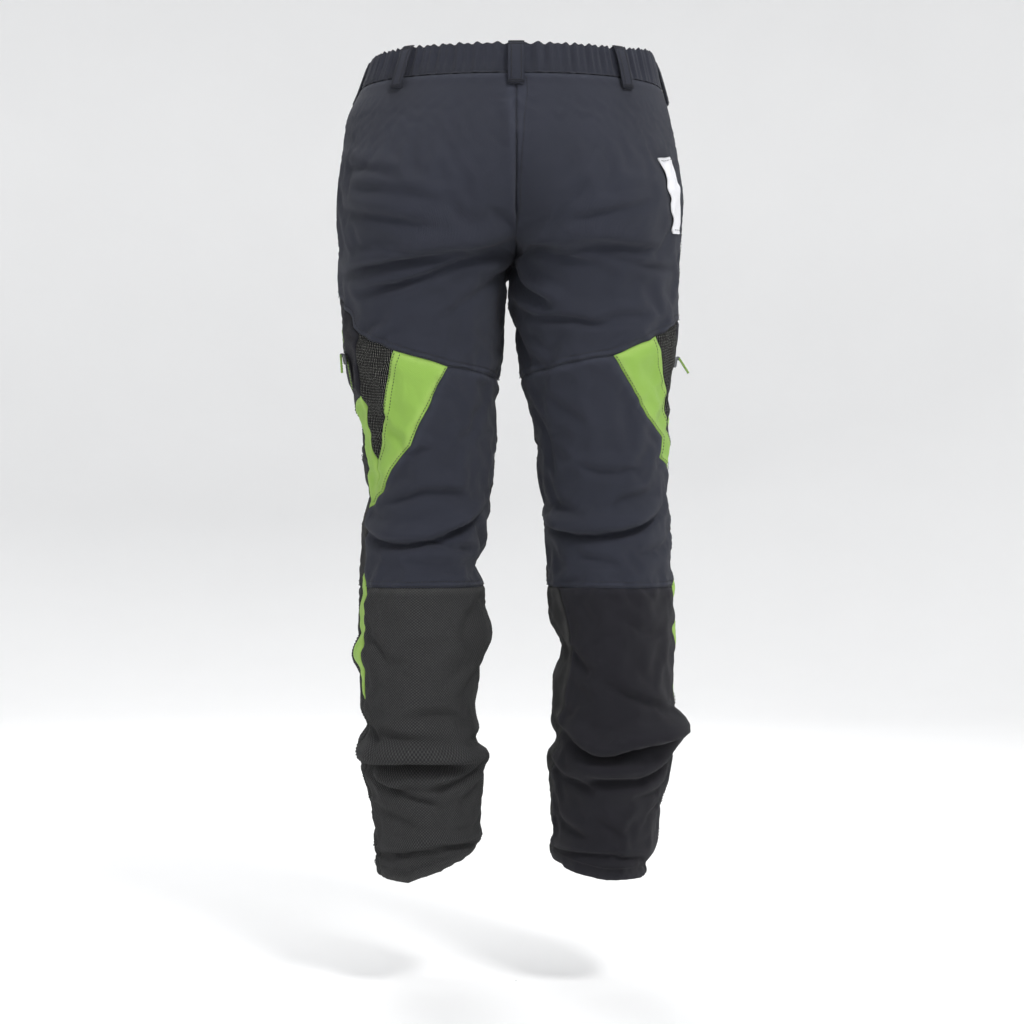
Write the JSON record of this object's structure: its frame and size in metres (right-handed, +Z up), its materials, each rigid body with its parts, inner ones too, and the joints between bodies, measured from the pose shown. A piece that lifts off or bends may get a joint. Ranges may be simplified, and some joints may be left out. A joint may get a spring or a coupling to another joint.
{
  "type": "chainsaw protective trousers",
  "caption": "Full-length chainsaw protective trousers, filled out as worn, with sewn panels, side vents, belt loops, fly, inner pads and lining, jointed at hips and knees.",
  "frame": {"origin": "centre of the waist opening, level with the top edge of the waistband", "axes": "+Z up, +Y towards the seat (the wearer faces -Y), +X towards the wearer's left"},
  "size_m": [0.3814, 0.2623, 0.8816],
  "materials": {
    "charcoal": "matt woven stretch nylon, slightly blue charcoal",
    "black": "matt smooth woven stretch cloth, near black",
    "textured": "coarse textured hard-wearing weave, speckled dark grey",
    "lime": "bright lime woven nylon, slight sheen",
    "mesh": "black open knitted mesh",
    "pad": "layered long-fibre protective padding, off-white",
    "lining": "thin warp-knitted lining",
    "elastic": "ribbed woven elastic",
    "label": "white woven satin tape, blank",
    "tape": "black zip tape with moulded teeth",
    "metal": "dark nickel-plated metal",
    "pull": "moulded lime grip, matt"
  },
  "bodies": {
    "hips": {"waistband_back": "charcoal", "waistband_front_left": "charcoal", "waistband_front_right": "charcoal", "waistband_elastic": "elastic", "waistband_lining": "lining", "hip_lining": "lining", "belt_loop_centre_back": "charcoal", "belt_loop_back_left": "charcoal", "belt_loop_back_right": "charcoal", "belt_loop_side_left": "charcoal", "belt_loop_side_right": "charcoal", "belt_loop_front_left": "charcoal", "belt_loop_front_right": "charcoal", "snap_stud": "metal", "fly_zip_tape": "tape", "fly_placket": "charcoal", "hip_label": "label", "left_seat_panel": "charcoal", "left_front_panel": "charcoal", "left_pocket_bag": "lining", "right_seat_panel": "charcoal", "right_front_panel": "charcoal", "right_pocket_bag": "lining"},
    "waist_tab": {"waist_tab": "charcoal", "snap_cap": "metal"},
    "fly_slider": {"fly_zip_slider": "metal"},
    "fly_pull": {"fly_zip_pull": "metal"},
    "left_thigh": {"left_back_knee_panel": "charcoal", "left_thigh_flash": "lime", "left_vent_mesh": "mesh", "left_front_flash": "lime", "left_front_thigh_panel": "black", "left_knee_panel": "textured", "left_thigh_pad": "pad", "left_thigh_lining": "lining", "left_vent_zip_tape": "tape"},
    "left_shin": {"left_shin_stripe": "lime", "left_calf_panel": "textured", "left_shin_panel": "textured", "left_shin_pad": "pad", "left_shin_lining": "lining"},
    "left_vent_slider": {"left_vent_zip_slider": "metal"},
    "left_vent_pull": {"left_vent_zip_pull": "pull"},
    "right_thigh": {"right_back_knee_panel": "charcoal", "right_thigh_flash": "lime", "right_vent_mesh": "mesh", "right_front_flash": "lime", "right_front_thigh_panel": "black", "right_knee_panel": "textured", "right_thigh_pad": "pad", "right_thigh_lining": "lining", "right_vent_zip_tape": "tape"},
    "right_shin": {"right_shin_stripe": "lime", "right_calf_panel": "black", "right_shin_panel": "textured", "right_shin_pad": "pad", "right_shin_lining": "lining", "right_inner_calf_panel": "textured"},
    "right_vent_slider": {"right_vent_zip_slider": "metal"},
    "right_vent_pull": {"right_vent_zip_pull": "pull"}
  },
  "joints": [
    {"name": "left_hip", "type": "hinge", "parent": "hips", "child": "left_thigh", "pos_m": [0.09, -0.01, -0.14], "axis": [-1, 0, 0], "range_deg": [-15, 50], "deforming": ["left_seat_panel", "left_front_panel"]},
    {"name": "left_knee", "type": "hinge", "parent": "left_thigh", "child": "left_shin", "pos_m": [0.1, -0.005, -0.526], "axis": [1, 0, 0], "range_deg": [0, 90], "deforming": ["left_back_knee_panel", "left_knee_panel", "left_thigh_flash", "left_front_flash"]},
    {"name": "right_hip", "type": "hinge", "parent": "hips", "child": "right_thigh", "pos_m": [-0.09, -0.01, -0.14], "axis": [-1, 0, 0], "range_deg": [-15, 50], "deforming": ["right_seat_panel", "right_front_panel"]},
    {"name": "right_knee", "type": "hinge", "parent": "right_thigh", "child": "right_shin", "pos_m": [-0.1, -0.005, -0.526], "axis": [1, 0, 0], "range_deg": [0, 90], "deforming": ["right_back_knee_panel", "right_knee_panel", "right_thigh_flash", "right_front_flash"]},
    {"name": "waist_tab_swing", "type": "hinge", "parent": "hips", "child": "waist_tab", "pos_m": [0.05, -0.1133, -0.0165], "axis": [0, 0, 1], "range_deg": [0, 90]},
    {"name": "fly_zip", "type": "slide", "parent": "hips", "child": "fly_slider", "axis": [0, 0.1721, -0.9851], "range_m": [0, 0.104]},
    {"name": "fly_pull_swing", "type": "hinge", "parent": "fly_slider", "child": "fly_pull", "pos_m": [0, -0.09879, -0.04733], "axis": [-1, 0, 0], "range_deg": [0, 15]},
    {"name": "left_vent_zip", "type": "slide", "parent": "left_thigh", "child": "left_vent_slider", "axis": [0.1804, -0.186, 0.9658], "range_m": [-0.025, 0.023]},
    {"name": "left_vent_pull_swing", "type": "hinge", "parent": "left_vent_slider", "child": "left_vent_pull", "pos_m": [0.1833, 0.03693, -0.31627], "axis": [0.1666, -0.962, -0.2164], "range_deg": [-5, 110]},
    {"name": "right_vent_zip", "type": "slide", "parent": "right_thigh", "child": "right_vent_slider", "axis": [-0.1289, 0.1327, 0.9827], "range_m": [-0.025, 0.023]},
    {"name": "right_vent_pull_swing", "type": "hinge", "parent": "right_vent_slider", "child": "right_vent_pull", "pos_m": [-0.18639, -0.01873, -0.31649], "axis": [-0.086, 0.9858, -0.1444], "range_deg": [-38, 70]}
  ]
}
